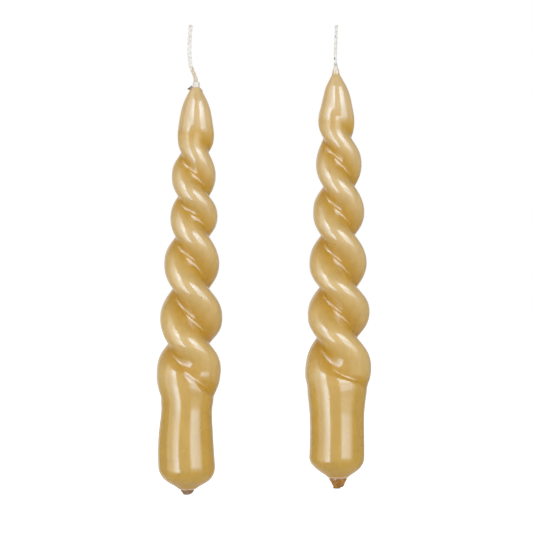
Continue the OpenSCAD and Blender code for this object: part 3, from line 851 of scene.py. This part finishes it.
def buildRoot(side, shape):
    form, top, neckTop = forms[side], shape["height"], shape["neckTop"]
    boreR, low, slack = filmForm["boreR"], filmForm["low"], filmForm["slack"]
    skin = [(filmForm["skinR"], h) for h in between(low, top, filmForm["ring"])]
    bm = spinOutline(skin + [(boreR, top), (boreR, top / 2), (boreR, low)], filmForm["sides"])
    peach, gap, foot = (bm.verts.layers.float.new(name) for name in ("peach", "gap", "foot"))
    for v in bm.verts:
        r, angle, h = math.hypot(v.co.x, v.co.y), math.atan2(v.co.y, v.co.x), v.co.z
        hull, deepest = filmReach(form, max(h, 0.3), angle)
        taut = slack * hull + (1 - slack) * deepest
        if r > (boreR + filmForm["skinR"]) / 2:
            film = taut + shape["film"] * (1 - filmForm["thinning"] * smoothStep(h, top - filmForm["thinFrom"], top))
            film += filmForm["filmRipple"] * noise.noise(Vector((angle * 2, h / 0.7, form["seed"])))
            swell = noise.noise(Vector((math.cos(angle) * 1.5, math.sin(angle) * 1.5, h / 0.8)))
            neck = shape["neckR"] + filmForm["neckRipple"] * swell
            r = film + (neck - film) * smoothStep(h, neckTop + shape["merge"], neckTop - shape["merge"])
            r += (shape["footR"] - neck) * smoothStep(h, max(0.9, shape["footTop"]), 0.0)
        elif h > neckTop:
            r = min(r, taut - 0.02)
        stain = smoothStep(h, neckTop - 0.3, neckTop + 0.5) * shape["stain"]
        v[peach] = max(stain, shape["blush"] * smoothStep(h, neckTop + 0.5, neckTop - 1.3))
        # painted shade, strongest in the deepest valleys between the strands, fading out below the top
        creaseShaded = clamp((hull - deepest) / filmForm["creaseShadeDepth"]) ** 2
        v[gap] = creaseShaded * stain * smoothStep(h, top, top - filmForm["creaseShadeFade"])
        v[foot] = smoothStep(h, shape["footTop"], 0.05)
        v.co = wickPoint(form, h, wickShape) + Vector((r * math.cos(angle), r * math.sin(angle), 0))
    toRowFrame(bm, form)
    return finishPiece(side + "_root_film", bm, rootWax, side + "_candle", [side + "_root_wax"])


for side in forms:
    for k in (1, 2, 3):
        strand = buildStrand(side, k, wickShape)
    root = buildRoot(side, rootShapes[side])
    print(side, "wick:", len(strand.data.polygons), "faces in its last strand,", len(root.data.polygons), "in the film")

# Chips of lacquer that stand off the left collar, where the dipping clip let go
flakes = [
    {
        "name": "left_collar_flake", "place": (-2.3, -1.15, 151.35), "size": (2.1, 1.1, 0.5), "turn": (20, -42, 25),
        "curl": 0.35,
    },
    {
        "name": "left_collar_chip", "place": (2.5, -1.1, 150.35), "size": (0.7, 0.5, 0.2), "turn": (-15, 35, -20),
        "curl": 0.1,
    },
]
flakeForm = {"cuts": 5, "rough": 0.25, "roughSize": 2.3, "taper": 0.45, "smooth": 0.5}
flakeLook = {
    "outer": "6E6256", "inner": "A98F6C", "scales": (1500, 3000, 1500), "roughness": (0.3, 0.5), "relief": 0.04,
}


def makeFlakeWax(look):
    material, tree, shader = newMaterial("scorchedFlakes")
    skin = addSkin(tree, objectCoords(tree), look["scales"])
    fillInputs(tree, shader, {
        "Base Color": addMix(tree, addRange(tree, skin["Clouding"], 0.35, 0.65), look["outer"], look["inner"]),
        "Roughness": addRange(tree, skin["Clouding"], 0.3, 0.7, *look["roughness"]),
        "Coat Weight": 0.4, "Coat Roughness": 0.2,
    })
    addBump(tree, shader, skin["Relief"], look["relief"])
    return material


flakeWax = makeFlakeWax(flakeLook)
for flake in flakes:
    bm = bmesh.new()
    bmesh.ops.create_cube(bm, size=1)
    bmesh.ops.subdivide_edges(bm, edges=bm.edges, cuts=flakeForm["cuts"], use_grid_fill=True)
    for v in bm.verts:
        worn = noise.noise(v.co * flakeForm["roughSize"] + Vector((flake["curl"], 3, 1)))
        rough = 1 + flakeForm["rough"] * worn
        taper = 1 - flakeForm["taper"] * (v.co.x + 0.5)
        curled = v.co.z * taper + flake["curl"] * (v.co.x ** 2) * 2
        v.co = Vector((v.co.x * rough, v.co.y * rough * taper, curled))
    bmesh.ops.scale(bm, vec=flake["size"], verts=bm.verts)
    turnX, turnY, turnZ = (Matrix.Rotation(math.radians(turn), 3, axis) for turn, axis in zip(flake["turn"], "XYZ"))
    bmesh.ops.rotate(bm, cent=(0, 0, 0), matrix=turnZ @ turnY @ turnX, verts=bm.verts)
    x, y, z = flake["place"]
    bmesh.ops.translate(bm, vec=(forms["left"]["collarX"] + x, y, z), verts=bm.verts)
    bmesh.ops.smooth_vert(
        bm, verts=bm.verts, factor=flakeForm["smooth"], use_axis_x=True, use_axis_y=True, use_axis_z=True)
    toRowFrame(bm, forms["left"])
    finishPiece(flake["name"], bm, flakeWax, "left_candle")
print("collar flakes set")

# Softboxes at the left, the right and the rear, each a plain lamp and one that is only reflected. Angles are
# degrees round from the front, "across" runs from a box's inner edge to its outer one, "upward" from its foot
boxes = [
    {
        "name": "leftSoftbox", "from": -84, "to": -28.5, "plain": 0.8, "gloss": 12.4,
        "across": [(0, 0.3), (0.06, 1), (0.7, 0.1), (1, 0.1)],
        "upward": [
            (0, 0), (0.08, 0.12), (0.17, 0.5), (0.26, 0.75), (0.36, 0.85), (0.46, 0.78), (0.53, 0.6), (0.6, 0.47),
            (0.68, 0.52), (0.78, 0.95), (1, 0.78),
        ],
    },
    {
        "name": "rightSoftbox", "from": 16.5, "to": 70, "plain": 0.8, "gloss": 10.9,
        "across": [(0, 0.25), (0.14, 1), (0.6, 0.7), (1, 0)],
        "upward": [
            (0, 0), (0.36, 0), (0.44, 0.16), (0.51, 0.6), (0.55, 0.62), (0.6, 0.47), (0.68, 0.52), (0.78, 1),
            (1, 0.85),
        ],
    },
    {
        "name": "rearSoftbox", "from": 150, "to": 210, "plain": 0.35, "gloss": 2.8,
        "across": [(0, 0.3), (0.2, 1), (0.8, 1), (1, 0.3)],
        "upward": [(0, 0), (0.7, 0), (0.82, 0.8), (1, 1)],
    },
]
studio = {
    "distance": 1.2, "lampGap": 0.03, "rises": {"Fill": (-27, 46), "Gloss": (-52, 46)}, "glossColour": (0.51, 0.72, 1),
    "surround": 0.62, "cardColour": (1, 0.92, 0.88, 1), "cardR": 1.5, "cardEnds": (-0.9, 1.6), "endShades": (0.5, 0.2),
    "cards": [(-135, -84, 0.25), (180, 225, 0.7), (150, 180, 0.6), (70, 150, 0.25)],
}
centre = Vector(cameraView["aim"])


def addSoftbox(box, kind):
    middle = math.radians((box["from"] + box["to"]) / 2)
    half = math.radians(abs(box["to"] - box["from"]) / 2)
    distance = studio["distance"] - (studio["lampGap"] if kind == "Gloss" else 0)  # in one place they'd hide each other
    low, high = (distance * math.tan(math.radians(rise)) for rise in studio["rises"][kind])
    data = bpy.data.lights.new(box["name"] + kind, "AREA")
    data.shape = "RECTANGLE"
    data.size, data.size_y = 2 * distance * math.tan(half), high - low
    data.energy = box["plain" if kind == "Fill" else "gloss"] * math.pi * data.size * data.size_y
    lamp = bpy.data.objects.new(box["name"] + kind, data)
    outward = Vector((math.sin(middle), -math.cos(middle), 0))
    lamp.location = centre + outward * distance + Vector((0, 0, (low + high) / 2))
    lamp.rotation_euler = (math.radians(90), 0, middle)
    lamp.visible_camera = False
    if kind == "Fill":
        lamp.visible_glossy = False
    else:  # seen only as a reflection, brightest just inside its inner edge
        lamp.visible_diffuse = False
        data.color = studio["glossColour"]
        data.use_nodes = True
        tree = data.node_tree
        spot = addNode(tree, "SeparateXYZ", {0: addNode(tree, "NewGeometry").outputs["Parametric"]}).outputs
        inner = addMath(tree, "SUBTRACT", 1, spot["X"]) if box["from"] < 0 else spot["X"]
        across, upward = addRamp(tree, inner, box["across"]), addRamp(tree, spot["Y"], box["upward"])
        fillInputs(tree, tree.nodes["Emission"], {"Strength": addMath(tree, "MULTIPLY", across, upward)})
    scene.collection.objects.link(lamp)


for box in boxes:
    addSoftbox(box, "Fill")
    addSoftbox(box, "Gloss")


def makeCard(shade):
    material, tree, shader = newMaterial("darkCard")
    tree.nodes.remove(shader)
    glow = addNode(tree, "Emission", {"Color": studio["cardColour"], "Strength": shade})
    tree.links.new(glow.outputs[0], tree.nodes["Material Output"].inputs["Surface"])
    return material


def hangCard(name, bm, shade):  # a card that only reflections see
    bmesh.ops.translate(bm, vec=(centre.x, 0, 0), verts=bm.verts)
    card = makeObject(name, bm, makeCard(shade))
    card.visible_camera = card.visible_diffuse = card.visible_shadow = card.visible_transmission = False


for i, (start, end, shade) in enumerate(studio["cards"]):
    bm = bmesh.new()
    a = math.radians(start - 90)
    x, y = studio["cardR"] * math.cos(a), studio["cardR"] * math.sin(a)
    edge = [bm.verts.new((x, y, z)) for z in studio["cardEnds"]]
    rail = bm.edges.new(edge)
    spinRound(bm, edge + [rail], math.radians(end - start), 24, False)
    hangCard("sideCard%d" % i, bm, shade)
for i, (z, shade) in enumerate(zip(studio["cardEnds"], studio["endShades"])):
    bm = bmesh.new()
    bmesh.ops.create_circle(bm, cap_ends=True, segments=48, radius=studio["cardR"])
    bmesh.ops.translate(bm, vec=(0, 0, z), verts=bm.verts)
    hangCard("endCard%d" % i, bm, shade)


def seenDirectly(tree):  # 1 where the camera, a reflection or a clear path looks, 0 for light that falls on things
    rays = addNode(tree, "LightPath").outputs
    mirrored = addMath(tree, "MAXIMUM", rays["Is Glossy Ray"], rays["Is Transmission Ray"])
    return addMath(tree, "MAXIMUM", rays["Is Camera Ray"], mirrored)


floorLook = {
    "height": -0.036, "size": 6, "dark": (0.91, 0.91, 0.91, 1), "light": (0.93, 0.93, 0.93, 1), "grainScale": 90,
    "roughness": 0.8, "specular": 0.2, "lift": 0.5,
}
paleFloor, tree, shader = newMaterial("paleFloor")
grain = addNoise(tree, objectCoords(tree), floorLook["grainScale"], 3)
fillInputs(tree, shader, {
    "Base Color": addMix(tree, grain, floorLook["dark"], floorLook["light"]),
    "Roughness": floorLook["roughness"], "Specular IOR Level": floorLook["specular"],
})
glow = addMath(tree, "MULTIPLY", seenDirectly(tree), floorLook["lift"])
lift = addNode(tree, "Emission", {"Color": (1, 1, 1, 1), "Strength": glow})
both = addNode(tree, "AddShader", {0: shader.outputs[0], 1: lift.outputs[0]})
tree.links.new(both.outputs[0], tree.nodes["Material Output"].inputs["Surface"])
bm = bmesh.new()
bmesh.ops.create_grid(bm, x_segments=24, y_segments=24, size=floorLook["size"])
bmesh.ops.translate(bm, vec=(0, 0, floorLook["height"]), verts=bm.verts)
floor = makeObject("paleFloor", bm, paleFloor)
floor.visible_glossy = False  # or it would cut the softboxes' reflections off

world = bpy.data.worlds.new("whiteSurround")
scene.world = world
world.use_nodes = True
tree = world.node_tree
strength = addNode(tree, "MapRange", {"Value": seenDirectly(tree), "To Min": studio["surround"], "To Max": 1.0})
fillInputs(tree, tree.nodes["Background"], {"Color": (1, 1, 1, 1), "Strength": strength.outputs["Result"]})
scene.view_settings.view_transform = "Standard"
print("studio lit")
